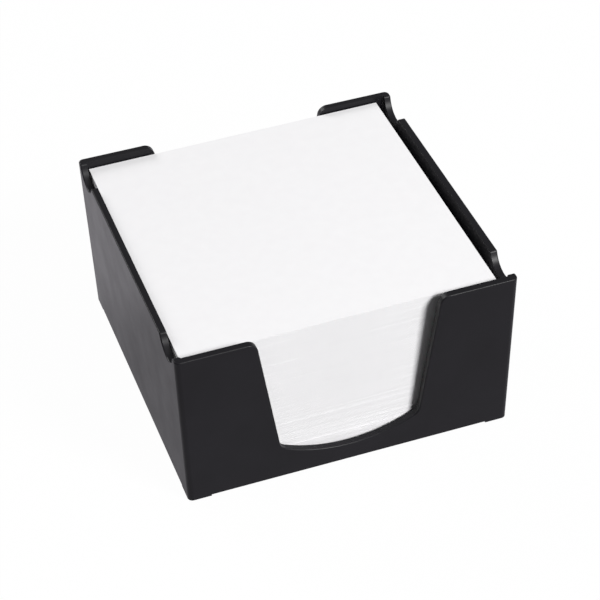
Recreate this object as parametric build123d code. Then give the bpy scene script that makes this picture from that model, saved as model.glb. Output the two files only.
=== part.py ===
from build123d import *
import math
import os

os.makedirs("parts", exist_ok=True)

# A memo cube holder: one open, square, injection moulded tray with a deep scoop in its
# front and back walls, filled with a stack of loose square note sheets.
# Millimetres, Z up. The origin is under the middle of the tray, on the desk, and the
# front scoop faces -Y. The tray is sized from the sheets it holds.

# Note sheets
sheet_width = 90.0
sheet_depth = 90.0
sheet_thickness = 0.1
stack_height = 46.0        # the full block of sheets, which the tray's height follows
sheets_per_handful = 10
bottom_handfuls = 5        # the ones that have shuffled out of line the most
loose_sheet_count = 9      # single sheets between the handfuls and the top sheet
jog_amount = 0.12          # how far handfuls of sheets are out of line with each other
loose_jog_amount = 0.22    # the same for the handfuls at the bottom of the stack

# Tray walls and floor
wall = 2.0
floor_thickness = 2.6
wall_flare = 1.1           # how far each wall leans out over the tray's height (draft)
corner_radius = 1.5        # upright corners, outside
inner_corner_radius = 0.5
sheet_play = 0.5          # free width beside a centred sheet at the foot, on each side
wall_gap = 0.3             # sheets to the left and back walls, which they lean against
rim_above_sheets = 2.3     # top of the full stack to the top of the corners

# Feet, moulded under the four corners
foot_height = 0.7
foot_length = 6.6

# Scoop in the front and back walls, for gripping the sheets
scoop_rim_width = 52.3     # between its sides, carried up to the rim
scoop_side_angle = 8.2     # degrees each side leans from upright
scoop_floor_height = 6.2   # lowest point of the scoop above the desk
scoop_floor_radius = 43.0
scoop_corner_radius = 3.0  # where the scoop's sides meet its curved bottom
scoop_lip_radius = 3.0     # where its sides meet the rim

# Round notches in the rim of the two side walls, one near each corner
notch_radius = 5.9
notch_rise = 1.1           # centre of the notch above the top of the corners
notch_from_corner = 8.7    # centre of the notch from the outside of the front or back wall
notch_lip_radius = 0.8
side_rim_drop = 0.7       # side wall between its notches, below the top of the corners

# Softened edges of the moulding, on its outside; the rim keeps a crisp inner edge
rim_edge_radius = 0.35
foot_edge_chamfer = 0.25

# Sizes that follow from the ones above
single_sheets = loose_sheet_count + 1
handful_count = round((stack_height / sheet_thickness - single_sheets) / sheets_per_handful)
sheet_count = handful_count * sheets_per_handful + single_sheets
lower_handfuls = (handful_count - bottom_handfuls) // 3
upper_handfuls = lower_handfuls
middle_handfuls = handful_count - bottom_handfuls - lower_handfuls - upper_handfuls
base_width = sheet_width + 2 * (sheet_play + wall)
base_depth = sheet_depth + 2 * (sheet_play + wall)
floor_top = foot_height + floor_thickness
tray_height = floor_top + sheet_count * sheet_thickness + rim_above_sheets
over = 10.0                # how far cutting shapes reach past what they cut
same = 0.001               # places closer than this are the same place


def flare_at(height):
    """How far the outside of a wall has moved out at a height above the desk."""
    return wall_flare * height / tray_height


def inner_half(size, height):
    """Half the clear space between two facing walls at a height."""
    return size / 2 + flare_at(height) - wall


def drafted_block(low, high, inset, radius):
    """A square block with the tray's leaning walls, moved in by inset, and round corners."""
    width = base_width + 2 * flare_at(low) - 2 * inset
    depth = base_depth + 2 * flare_at(low) - 2 * inset
    draft_angle = math.degrees(math.atan(wall_flare / tray_height))
    block = extrude(Plane.XY.offset(low) * Rectangle(width, depth), high - low, taper=-draft_angle)
    corners = [edge for edge in block.edges() if edge.bounding_box().size.Z > (high - low) / 2]
    return fillet(corners, radius)


def scoop_cutter():
    """The scoop's outline, swept from front to back through both walls."""
    rim_half = scoop_rim_width / 2
    lean = math.tan(math.radians(scoop_side_angle))
    sides = Polygon(
        (-rim_half + tray_height * lean, 0),
        (rim_half - tray_height * lean, 0),
        (rim_half + over * lean, tray_height + over),
        (-rim_half - over * lean, tray_height + over),
        align=None,
    )
    bowl = Pos(0, scoop_floor_height + scoop_floor_radius) * Circle(scoop_floor_radius)
    opening = sides & bowl
    lower_corners = opening.vertices().sort_by(Axis.Y)[:2]
    opening = fillet(lower_corners, scoop_corner_radius)
    opening += Pos(0, tray_height + over / 2) * Rectangle(base_width, over)
    lips = [
        v for v in opening.vertices()
        if abs(v.Y - tray_height) < same and abs(v.X) < (rim_half + base_width / 2) / 2
    ]
    return extrude(Plane.XZ * fillet(lips, scoop_lip_radius), base_depth, both=True)


def side_rim_cutter():
    """The round notches and the lowered rim between them, swept through both side walls."""
    notch_y = base_depth / 2 + flare_at(tray_height) - notch_from_corner
    middle_rim = tray_height - side_rim_drop
    outline = Pos(0, tray_height + over / 2) * Rectangle(base_depth + 2 * over, over)
    outline += Pos(0, middle_rim + over / 2) * Rectangle(2 * notch_y, over)
    for side in (-1, 1):
        outline += Pos(side * notch_y, tray_height + notch_rise) * Circle(notch_radius)
    lips = [
        v for v in outline.vertices()
        if middle_rim - same < v.Y < tray_height + same and abs(abs(v.X) - notch_y) < notch_radius
    ]
    return extrude(Plane.YZ * fillet(lips, notch_lip_radius), base_width, both=True)


def foot_relief():
    """The space under the floor between the corner feet."""
    across = Rectangle(base_width + 2 * over, base_depth - 2 * foot_length)
    along = Rectangle(base_width - 2 * foot_length, base_depth + 2 * over)
    return extrude(across + along, foot_height)


def outer_rim_edges(tray):
    """The edges of the rim, the scoops and the notches on the outside of the four walls."""
    lowest = (floor_top + scoop_floor_height) / 2
    edges = []
    for axis in (Axis.X, Axis.Y):
        faces = tray.faces().sort_by(axis)
        for outside in (faces[0], faces[-1]):
            edges += [edge for edge in outside.edges() if edge.bounding_box().min.Z > lowest]
    return edges


def foot_edges(tray):
    """The edges round the undersides of the feet."""
    return [edge for edge in tray.edges() if edge.bounding_box().max.Z < foot_height / 2]


def make_tray():
    tray = drafted_block(0, tray_height, 0, corner_radius)
    tray -= drafted_block(floor_top, tray_height + over, wall, inner_corner_radius)
    tray -= scoop_cutter()
    tray -= side_rim_cutter()
    tray = fillet(outer_rim_edges(tray), rim_edge_radius)
    tray -= foot_relief()
    return chamfer(foot_edges(tray), foot_edge_chamfer)


def handful(first_sheet, sheets, jog, turn):
    """Some sheets as one block, leaning on the left and back walls with the rest."""
    low = floor_top + first_sheet * sheet_thickness
    thickness = sheets * sheet_thickness
    left = -(inner_half(base_width, low) - wall_gap) + jog * (1 + math.sin(2.4 * turn)) / 2
    back = inner_half(base_depth, low) - wall_gap - jog * (1 + math.sin(1.7 * turn)) / 2
    centre = (left + sheet_width / 2, back - sheet_depth / 2, low + thickness / 2)
    return Pos(*centre) * Box(sheet_width, sheet_depth, thickness)


def sheet_group(first_sheet, count, sheets_each, jog):
    """A number of like handfuls, one on the other."""
    return [
        handful(first_sheet + i * sheets_each, sheets_each, jog, first_sheet / sheets_each + i)
        for i in range(count)
    ]


parts = {"memo_tray": make_tray()}

next_sheet = 0
groups = [
    ("bottom_sheets", bottom_handfuls, sheets_per_handful, loose_jog_amount),
    ("lower_sheets", lower_handfuls, sheets_per_handful, jog_amount),
    ("middle_sheets", middle_handfuls, sheets_per_handful, jog_amount),
    ("upper_sheets", upper_handfuls, sheets_per_handful, jog_amount),
    ("loose_top_sheets", loose_sheet_count, 1, jog_amount),
    ("top_sheet", 1, 1, jog_amount),
]
for name, count, sheets_each, jog in groups:
    parts[name] = Compound(children=sheet_group(next_sheet, count, sheets_each, jog))
    next_sheet += count * sheets_each

for name, shape in parts.items():
    export_step(shape, f"parts/{name}.step")
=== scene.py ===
import math

import bpy
import numpy as np
from mathutils import Matrix, Vector


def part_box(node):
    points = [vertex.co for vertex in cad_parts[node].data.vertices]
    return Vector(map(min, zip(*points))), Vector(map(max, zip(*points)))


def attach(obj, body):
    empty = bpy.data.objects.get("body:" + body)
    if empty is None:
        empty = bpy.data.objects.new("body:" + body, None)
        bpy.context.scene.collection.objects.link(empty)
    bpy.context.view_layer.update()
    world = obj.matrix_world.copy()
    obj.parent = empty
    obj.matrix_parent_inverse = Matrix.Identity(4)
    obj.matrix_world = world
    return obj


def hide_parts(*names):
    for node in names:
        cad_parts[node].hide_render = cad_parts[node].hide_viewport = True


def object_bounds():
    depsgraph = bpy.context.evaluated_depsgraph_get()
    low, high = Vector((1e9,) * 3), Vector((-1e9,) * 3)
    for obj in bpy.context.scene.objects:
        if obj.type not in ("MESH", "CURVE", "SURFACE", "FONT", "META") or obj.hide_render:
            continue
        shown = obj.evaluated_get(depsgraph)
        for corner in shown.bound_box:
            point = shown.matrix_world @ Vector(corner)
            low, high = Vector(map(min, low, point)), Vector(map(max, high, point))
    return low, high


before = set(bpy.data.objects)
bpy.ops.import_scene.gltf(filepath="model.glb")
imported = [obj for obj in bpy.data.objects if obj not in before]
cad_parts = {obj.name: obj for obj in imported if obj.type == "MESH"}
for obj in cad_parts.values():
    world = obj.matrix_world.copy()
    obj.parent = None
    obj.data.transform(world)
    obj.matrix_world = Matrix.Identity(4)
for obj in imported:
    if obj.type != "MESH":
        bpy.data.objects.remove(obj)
cad_low, cad_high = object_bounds()

MM = 0.001


# The tray
# One open square box of black polystyrene, injection moulded, with a deep scoop in its front
# and back walls and two round notches in the rim of each side wall. Its outside carries the
# fine spark eroded texture of the mould, which leaves it satin rather than shiny.
PLASTIC_BLACK = (0.0073, 0.0069, 0.0086)
PLASTIC_WORN_BLACK = (0.0098, 0.0093, 0.0116)
PLASTIC_ROUGHNESS = (0.37, 0.42)
PLASTIC_SPECULAR = 0.22
MOULD_TEXTURE_SIZE = 0.30 * MM
MOULD_TEXTURE_DEPTH = 0.008 * MM
MOULD_TEXTURE_STRENGTH = 0.5
CLOUD_SIZE = 14 * MM
SCUFF_SIZE = 9 * MM
CLOUD_DETAIL = 3.0
GRAIN_DETAIL = 2.0
NOISE_REACH = (0.3, 0.7)  # where most of a noise output lies


def new_material(name):
    """A node material that holds a Principled shader alone: (material, nodes, links, shader)."""
    material = bpy.data.materials.new(name)
    material.use_nodes = True
    nodes = material.node_tree.nodes
    links = material.node_tree.links
    nodes.clear()
    output = nodes.new("ShaderNodeOutputMaterial")
    shader = nodes.new("ShaderNodeBsdfPrincipled")
    links.new(shader.outputs["BSDF"], output.inputs["Surface"])
    return material, nodes, links, shader


def dress(piece, material):
    """Gives a piece one material, in place of what is there."""
    piece.data.materials.clear()
    piece.data.materials.append(material)


def grain_group():
    """Two sizes of three dimensional noise on the piece's own coordinates.

    Cloud is a slow value round 0.5 that never repeats, and Grain a fast one. Size inputs are
    lengths in metres, so the noise scale is one over the size.
    """
    group = bpy.data.node_groups.new("grain_and_cloud", "ShaderNodeTree")
    face = group.interface
    for label, value in (("Cloud Size", 10 * MM), ("Grain Size", 1 * MM)):
        socket = face.new_socket(label, in_out="INPUT", socket_type="NodeSocketFloat")
        socket.default_value = value
    for label in ("Cloud", "Grain"):
        face.new_socket(label, in_out="OUTPUT", socket_type="NodeSocketFloat")
    nodes = group.nodes
    links = group.links
    entry = nodes.new("NodeGroupInput")
    leave = nodes.new("NodeGroupOutput")
    place = nodes.new("ShaderNodeTexCoord")
    for label, detail in (("Cloud", CLOUD_DETAIL), ("Grain", GRAIN_DETAIL)):
        scale = nodes.new("ShaderNodeMath")
        scale.operation = "DIVIDE"
        scale.inputs[0].default_value = 1.0
        noise = nodes.new("ShaderNodeTexNoise")
        noise.inputs["Detail"].default_value = detail
        links.new(entry.outputs[label + " Size"], scale.inputs[1])
        links.new(scale.outputs["Value"], noise.inputs["Scale"])
        links.new(place.outputs["Object"], noise.inputs["Vector"])
        links.new(noise.outputs["Fac"], leave.inputs[label])
    return group


GRAIN = grain_group()


def add_grain(nodes, cloud_size, grain_size):
    """The shared grain group in a material, with its own sizes."""
    grain = nodes.new("ShaderNodeGroup")
    grain.node_tree = GRAIN
    grain.inputs["Cloud Size"].default_value = cloud_size
    grain.inputs["Grain Size"].default_value = grain_size
    return grain


def add_range(nodes, links, source, low, high):
    """A value that goes from low to high as a noise output goes through its reach."""
    span = nodes.new("ShaderNodeMapRange")
    span.inputs["From Min"].default_value = NOISE_REACH[0]
    span.inputs["From Max"].default_value = NOISE_REACH[1]
    span.inputs["To Min"].default_value = low
    span.inputs["To Max"].default_value = high
    links.new(source, span.inputs["Value"])
    return span.outputs["Result"]


def add_colours(nodes, links, source, first, second):
    """A colour that goes from first to second as a 0 to 1 value goes up."""
    blend = nodes.new("ShaderNodeMix")
    blend.data_type = "RGBA"
    blend.inputs["A"].default_value = (*first, 1)
    blend.inputs["B"].default_value = (*second, 1)
    links.new(source, blend.inputs["Factor"])
    return blend.outputs["Result"]


def add_bump(nodes, links, height, shader, depth, strength):
    """Fine relief of a given depth on a shader."""
    bump = nodes.new("ShaderNodeBump")
    bump.inputs["Distance"].default_value = depth
    bump.inputs["Strength"].default_value = strength
    links.new(height, bump.inputs["Height"])
    links.new(bump.outputs["Normal"], shader.inputs["Normal"])


def tray_plastic():
    """Black polystyrene: cloudy blacks, satin gloss that varies with handling, mould texture."""
    material, nodes, links, shader = new_material("tray_plastic")
    texture = add_grain(nodes, CLOUD_SIZE, MOULD_TEXTURE_SIZE)
    handling = add_grain(nodes, SCUFF_SIZE, SCUFF_SIZE)
    cloud = add_range(nodes, links, texture.outputs["Cloud"], 0.0, 1.0)
    colour = add_colours(nodes, links, cloud, PLASTIC_BLACK, PLASTIC_WORN_BLACK)
    links.new(colour, shader.inputs["Base Color"])
    gloss = add_range(nodes, links, handling.outputs["Cloud"], *PLASTIC_ROUGHNESS)
    links.new(gloss, shader.inputs["Roughness"])
    shader.inputs["Specular IOR Level"].default_value = PLASTIC_SPECULAR
    grain = texture.outputs["Grain"]
    add_bump(nodes, links, grain, shader, MOULD_TEXTURE_DEPTH, MOULD_TEXTURE_STRENGTH)
    return material


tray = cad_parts["memo_tray"]
dress(tray, tray_plastic())


# The note sheets
# A ream cut note block of 460 loose square sheets of white offset paper. They were dropped in
# as a block close to the left and back walls of the tray. Those in the lower third have
# shuffled a little against each other, and those above are nearly in line.
SHEET_THICKNESS = 0.1 * MM
SHEET_FILL = 0.93  # the rest of the thickness is the air between two sheets
SHIFT_RIGHT = 0.1 * MM
RISE_TO_RIGHT = 0.40 * MM
RISE_TO_BACK = 0.30 * MM
WAVE_HEIGHT = 0.06 * MM
WAVE_ACROSS = 2.1  # radians of wave from a sheet's middle to its edge, as is the next
WAVE_ALONG = 1.7
WAVE_START = 0.6
SHUFFLE_SEED = 11
SINGLE_JOG = 0.010 * MM
SINGLE_JOG_LIMIT = 2.5  # in standard deviations, as is the limit of the turn
JOG_SHARE_ABOVE = 0.2  # how much of the single jog the upper sheets have
JOG_SHARE_LOW = 1.8  # and how much more the lowest one has
SHUFFLED_SHEETS = 130
DRIFT_JOG = 0.06 * MM
DRIFT_SHEETS = 9.0
DRIFT_WINDOW = 30
STRAY_JOG = 0.12 * MM
STRAY_SHARE = 0.04
TURN_JOG = math.radians(0.025)
TURN_JOG_LIMIT = 2.0
STACK_CELLS = 4  # cells of the mesh along a sheet's side
TOP_CELLS = 24
CUT_EDGE_ANGLE = math.radians(40)
PAPER_WHITE = (0.908, 0.902, 0.912)
PAPER_SHADE = (0.880, 0.872, 0.884)
PAPER_ROUGHNESS = 0.82
PAPER_SPECULAR = 0.25
PAPER_CLOUD_SIZE = 3.5 * MM
PAPER_CLOUD_SHARE = 0.5
FIBRE_SIZE = 0.22 * MM
FIBRE_DEPTH = 0.006 * MM
FIBRE_STRENGTH = 0.35

stack_low, stack_first_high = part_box("bottom_sheets")
top_low, top_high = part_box("top_sheet")
sheet_count = round((top_high.z - stack_low.z) / SHEET_THICKNESS)
sheet_width = top_high.x - top_low.x
sheet_depth = top_high.y - top_low.y
shuffle = np.random.default_rng(SHUFFLE_SEED)


def drift(count, reach):
    """A slow random walk from sheet to sheet, about zero, that stays within reach.

    White noise is smoothed by a bell curve with a standard deviation of DRIFT_SHEETS, and
    scaled so that its largest value is the reach.
    """
    window = np.arange(-DRIFT_WINDOW, DRIFT_WINDOW + 1)
    bell = np.exp(-0.5 * (window / DRIFT_SHEETS) ** 2)
    walk = np.convolve(shuffle.normal(size=count + 2 * DRIFT_WINDOW), bell, mode="valid")
    return reach * walk / np.abs(walk).max()


def jogs(count):
    """Each sheet's shift out of line: a slow drift, a little of its own, and a few strays.

    Low down is a bell curve that is 1 at the lowest sheet and has nearly gone by the middle
    of the stack. A sheet's own shift grows with it, and the strays are multiplied by it.
    """
    own = np.clip(shuffle.normal(size=count), -SINGLE_JOG_LIMIT, SINGLE_JOG_LIMIT) * SINGLE_JOG
    stray = (shuffle.random(count) < STRAY_SHARE) * shuffle.random(count) * STRAY_JOG
    low_down = np.exp(-(np.arange(count) / SHUFFLED_SHEETS) ** 2)
    own_share = JOG_SHARE_ABOVE + JOG_SHARE_LOW * low_down
    return drift(count, DRIFT_JOG) + own * own_share + stray * low_down


sheet_turns = np.clip(shuffle.normal(size=sheet_count), -TURN_JOG_LIMIT, TURN_JOG_LIMIT) * TURN_JOG
sheet_shift_x = np.abs(jogs(sheet_count))
sheet_shift_y = -np.abs(jogs(sheet_count))
sheet_tints = shuffle.random(sheet_count)
sheet_lefts = np.linspace(stack_low.x, top_low.x, sheet_count) + SHIFT_RIGHT
sheet_backs = np.linspace(stack_first_high.y, top_high.y, sheet_count)


def stack_rise(x, y, share):
    """How much the stack has fluffed up at a place and a share of its height.

    A tilt up towards the right and the back, and a shallow wave across the sheet, both growing
    from nothing at the floor.
    """
    across = x / (sheet_width / 2)
    along = y / (sheet_depth / 2)
    wave = WAVE_HEIGHT * np.sin(WAVE_ACROSS * across + WAVE_START) * np.cos(WAVE_ALONG * along)
    return share * (RISE_TO_RIGHT * across + RISE_TO_BACK * along + wave)


def sheet_grids(first, count, cells):
    """Undersides of sheets as an array (sheet, row, column, xyz), each turned and shifted.

    u and v run over each sheet from its middle. A place is the sheet's middle, plus (u, v)
    turned by the sheet's own small angle, and its height is the sheet's place in the stack
    plus what the stack has fluffed up there.
    """
    number = np.arange(first, first + count)[:, None, None]
    v, u = np.meshgrid(
        np.linspace(-sheet_depth / 2, sheet_depth / 2, cells + 1),
        np.linspace(-sheet_width / 2, sheet_width / 2, cells + 1),
        indexing="ij",
    )
    turn = sheet_turns[number]
    x = sheet_lefts[number] + sheet_shift_x[number] + sheet_width / 2
    x = x + u * np.cos(turn) - v * np.sin(turn)
    y = sheet_backs[number] + sheet_shift_y[number] - sheet_depth / 2
    y = y + u * np.sin(turn) + v * np.cos(turn)
    share = (number + 1) / sheet_count
    z = stack_low.z + number * SHEET_THICKNESS + stack_rise(x, y, share)
    return np.stack(np.broadcast_arrays(x, y, z), axis=-1)


def slab_faces(cells):
    """Corner numbers of one closed slab: top, underside and the four cut edges, outwards."""
    side = cells + 1
    corner = np.arange(side * side).reshape(side, side)
    quads = np.stack([corner[:-1, :-1], corner[:-1, 1:], corner[1:, 1:], corner[1:, :-1]], axis=-1)
    quads = quads.reshape(-1, 4)
    rim = np.concatenate([corner[0, :-1], corner[:-1, -1], corner[-1, :0:-1], corner[:0:-1, 0]])
    after = np.roll(rim, -1)
    upper = side * side
    edges = np.stack([rim, after, after + upper, rim + upper], axis=-1)
    return np.concatenate([quads[:, ::-1], quads + upper, edges])


def paper_mesh(name, first, count, cells):
    """Separate closed sheets of paper in one mesh, each with its own tint as an attribute."""
    under = sheet_grids(first, count, cells)
    over = under + np.array([0, 0, SHEET_THICKNESS * SHEET_FILL])
    points = np.stack([under, over], axis=1).reshape(-1, 3)
    each = 2 * (cells + 1) ** 2
    faces = slab_faces(cells)[None] + each * np.arange(count)[:, None, None]
    mesh = bpy.data.meshes.new(name)
    mesh.from_pydata(points.tolist(), [], faces.reshape(-1, 4).tolist())
    tint = mesh.attributes.new("sheet_tint", "FLOAT", "POINT")
    tint.data.foreach_set("value", np.repeat(sheet_tints[first:first + count], each))
    mesh.polygons.foreach_set("use_smooth", np.ones(len(mesh.polygons), dtype=bool))
    mesh.set_sharp_from_angle(angle=CUT_EDGE_ANGLE)
    mesh.update()
    piece = bpy.data.objects.new(name, mesh)
    bpy.context.scene.collection.objects.link(piece)
    return piece


def note_paper():
    """White offset paper: each sheet a shade of its own, soft look-through clouds, fibre relief."""
    material, nodes, links, shader = new_material("note_paper")
    grain = add_grain(nodes, PAPER_CLOUD_SIZE, FIBRE_SIZE)
    own = nodes.new("ShaderNodeAttribute")
    own.attribute_name = "sheet_tint"
    both = nodes.new("ShaderNodeMath")
    both.operation = "MULTIPLY"
    cloud = add_range(nodes, links, grain.outputs["Cloud"], 0.0, PAPER_CLOUD_SHARE)
    links.new(own.outputs["Fac"], both.inputs[0])
    links.new(cloud, both.inputs[1])
    colour = add_colours(nodes, links, both.outputs["Value"], PAPER_WHITE, PAPER_SHADE)
    links.new(colour, shader.inputs["Base Color"])
    shader.inputs["Roughness"].default_value = PAPER_ROUGHNESS
    shader.inputs["Specular IOR Level"].default_value = PAPER_SPECULAR
    add_bump(nodes, links, grain.outputs["Grain"], shader, FIBRE_DEPTH, FIBRE_STRENGTH)
    return material


PAPER = note_paper()
SHEET_NODES = (
    "bottom_sheets", "lower_sheets", "middle_sheets",
    "upper_sheets", "loose_top_sheets", "top_sheet",
)
for node in SHEET_NODES:
    low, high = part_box(node)
    first = round((low.z - stack_low.z) / SHEET_THICKNESS)
    count = round((high.z - low.z) / SHEET_THICKNESS)
    cells = TOP_CELLS if node in ("loose_top_sheets", "top_sheet") else STACK_CELLS
    piece = paper_mesh("paper_" + node, first, count, cells)
    dress(piece, PAPER)
    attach(piece, "single_top_sheet" if node == "top_sheet" else "note_stack")
    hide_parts(node)


# The desk and the white surroundings
# A pale matt table top under the tray. The camera sees it white, as in a product photograph,
# and it keeps the tray's own soft shadow. In the gloss of the tray it shows a painted reflection,
# a white glow that is grey in front and paler behind the tray. It throws little light back.
DESK_SIZE = 6.0  # metres
DESK_SEEN = (0.90, 0.90, 0.91)
DESK_BOUNCE = (0.12, 0.12, 0.123)
DESK_ROUGHNESS = 0.9
DESK_DROP = 0.02 * MM
PLAIN_WHITE = (1.0, 1.0, 1.0)
WHITE_SEEN = 0.98
# Painted reflection: a tinted white glow that only the tray's gloss sees, grey up to GREY_UP_TO
# along Y and pale from PALE_FROM on.
WHITE_TINT_IN_GLOSS = (0.97, 0.94, 1.0)
GREY_IN_GLOSS = 0.56
PALE_IN_GLOSS = 1.0
GREY_UP_TO = 12 * MM
PALE_FROM = 68 * MM
ROOM_SEEN = 1.0
ROOM_LIGHT = 0.03
ROOM_IN_GLOSS = 0.22


def ray_kinds(nodes, links):
    """Two values: 1 for rays from the camera, and 1 for rays mirrored or bent by a gloss."""
    path = nodes.new("ShaderNodeLightPath")
    gloss = nodes.new("ShaderNodeMath")
    gloss.operation = "MAXIMUM"
    links.new(path.outputs["Is Glossy Ray"], gloss.inputs[0])
    links.new(path.outputs["Is Transmission Ray"], gloss.inputs[1])
    return path.outputs["Is Camera Ray"], gloss.outputs["Value"]


def add_choice(nodes, links, choice, plain, special):
    """The plain value where choice is 0 and the special one where it is 1.

    Either of the two is a number or the output of a node.
    """
    blend = nodes.new("ShaderNodeMix")
    links.new(choice, blend.inputs["Factor"])
    for label, value in (("A", plain), ("B", special)):
        if isinstance(value, float):
            blend.inputs[label].default_value = value
        else:
            links.new(value, blend.inputs[label])
    return blend.outputs["Result"]


def desk_material():
    """Matt pale laminate, blended towards white for the camera and a painted reflection in a gloss.
    """
    material, nodes, links, shader = new_material("desk_laminate")
    camera_ray, gloss_ray = ray_kinds(nodes, links)
    colour = add_colours(nodes, links, camera_ray, DESK_BOUNCE, DESK_SEEN)
    links.new(colour, shader.inputs["Base Color"])
    shader.inputs["Roughness"].default_value = DESK_ROUGHNESS

    place = nodes.new("ShaderNodeTexCoord")
    axes = nodes.new("ShaderNodeSeparateXYZ")
    links.new(place.outputs["Object"], axes.inputs["Vector"])
    # Painted reflection: the share of white glow a gloss sees, rising smoothly from front to back
    # along Y.
    painted_reflection = nodes.new("ShaderNodeMapRange")
    painted_reflection.interpolation_type = "SMOOTHSTEP"
    painted_reflection.inputs["From Min"].default_value = GREY_UP_TO
    painted_reflection.inputs["From Max"].default_value = PALE_FROM
    painted_reflection.inputs["To Min"].default_value = GREY_IN_GLOSS
    painted_reflection.inputs["To Max"].default_value = PALE_IN_GLOSS
    links.new(axes.outputs["Y"], painted_reflection.inputs["Value"])

    white = nodes.new("ShaderNodeEmission")
    tint = add_colours(nodes, links, camera_ray, WHITE_TINT_IN_GLOSS, PLAIN_WHITE)
    links.new(tint, white.inputs["Color"])
    in_gloss = add_choice(nodes, links, gloss_ray, 0.0, painted_reflection.outputs["Result"])
    share = add_choice(nodes, links, camera_ray, in_gloss, WHITE_SEEN)
    blend = nodes.new("ShaderNodeMixShader")
    links.new(share, blend.inputs["Fac"])
    links.new(shader.outputs["BSDF"], blend.inputs[1])
    links.new(white.outputs["Emission"], blend.inputs[2])
    links.new(blend.outputs["Shader"], nodes["Material Output"].inputs["Surface"])
    return material


desk_half = DESK_SIZE / 2
desk_mesh = bpy.data.meshes.new("desk_top")
desk_mesh.from_pydata(
    [
        (-desk_half, -desk_half, -DESK_DROP),
        (desk_half, -desk_half, -DESK_DROP),
        (desk_half, desk_half, -DESK_DROP),
        (-desk_half, desk_half, -DESK_DROP),
    ],
    [],
    [(0, 1, 2, 3)],
)
desk = bpy.data.objects.new("desk_top", desk_mesh)
bpy.context.scene.collection.objects.link(desk)
dress(desk, desk_material())

world = bpy.data.worlds.new("white_room")
world.use_nodes = True
bpy.context.scene.world = world
room_nodes = world.node_tree.nodes
room_links = world.node_tree.links
backdrop = room_nodes["Background"]
camera_ray, gloss_ray = ray_kinds(room_nodes, room_links)
unseen = add_choice(room_nodes, room_links, gloss_ray, ROOM_LIGHT, ROOM_IN_GLOSS)
brightness = add_choice(room_nodes, room_links, camera_ray, unseen, ROOM_SEEN)
room_links.new(brightness, backdrop.inputs["Strength"])
backdrop.inputs["Color"].default_value = (*PLAIN_WHITE, 1)


# The studio light
# One soft box right of the front throws the shadow of the right hand edge of the scoop on the
# paper. A wide fill from the left rear lights what the soft box doesn't reach, and a large
# dim panel hangs overhead.
KEY_DIRECTION = 32.5  # degrees right of the front
KEY_HEIGHT = 36.0  # degrees above level
KEY_DISTANCE = 2.6  # metres, as are the sizes of the lamps
KEY_SIZE = 0.78
KEY_POWER = 81.0  # watts
FILL_DIRECTION = -152.0
FILL_HEIGHT = 28.0
FILL_DISTANCE = 2.6
FILL_SIZE = 1.2
FILL_POWER = 27.0
PANEL_HEIGHT = 1.3  # metres above the middle of the tray
PANEL_SIZE = 1.0
PANEL_POWER = 2.4


def seen_from(direction, height):
    """The unit vector towards a lamp.

    To the right is the sine of the direction and to the front, which is -Y, its cosine. Both
    are times the cosine of the height, and upwards is the sine of the height.
    """
    turn = math.radians(direction)
    climb = math.radians(height)
    level = math.cos(climb)
    return Vector((math.sin(turn) * level, -math.cos(turn) * level, math.sin(climb)))


def soft_box(name, place, aim, size, power):
    """A square area lamp at a place that shines at a point."""
    lamp = bpy.data.lights.new(name, "AREA")
    lamp.shape = "SQUARE"
    lamp.size = size
    lamp.energy = power
    holder = bpy.data.objects.new(name, lamp)
    bpy.context.scene.collection.objects.link(holder)
    holder.location = place
    holder.rotation_euler = (aim - place).to_track_quat("-Z", "Y").to_euler()


middle = Vector((0, 0, (cad_low.z + cad_high.z) / 2))
key_place = middle + seen_from(KEY_DIRECTION, KEY_HEIGHT) * KEY_DISTANCE
fill_place = middle + seen_from(FILL_DIRECTION, FILL_HEIGHT) * FILL_DISTANCE
panel_place = middle + Vector((0, 0, PANEL_HEIGHT))
soft_box("key_light", key_place, middle, KEY_SIZE, KEY_POWER)
soft_box("fill_light", fill_place, middle, FILL_SIZE, FILL_POWER)
soft_box("overhead_light", panel_place, middle, PANEL_SIZE, PANEL_POWER)


# The camera
# Left of the front and above, as in the photograph, rolled slightly to the right. The lens is
# long, so the tray's walls stay nearly parallel.
CAMERA_PLACE = Vector((-146.77 * MM, -446.39 * MM, 410.45 * MM))
CAMERA_HEADING = -18.471  # degrees, as are the next two
CAMERA_DOWN = 39.643
CAMERA_ROLL = -1.828
LENS = 126.06  # millimetres, as is the sensor
SENSOR = 36.0
NEAREST_SEEN = 10 * MM

camera_data = bpy.data.cameras.new("camera")
camera_data.lens = LENS
camera_data.sensor_width = SENSOR
camera_data.clip_start = NEAREST_SEEN
camera = bpy.data.objects.new("camera", camera_data)
bpy.context.scene.collection.objects.link(camera)
heading = Matrix.Rotation(math.radians(CAMERA_HEADING), 4, "Z")
pitch = Matrix.Rotation(math.radians(90 - CAMERA_DOWN), 4, "X")
roll = Matrix.Rotation(math.radians(CAMERA_ROLL), 4, "Z")
camera.matrix_world = Matrix.Translation(CAMERA_PLACE) @ heading @ pitch @ roll
bpy.context.scene.camera = camera
bpy.context.scene.view_settings.view_transform = "Standard"
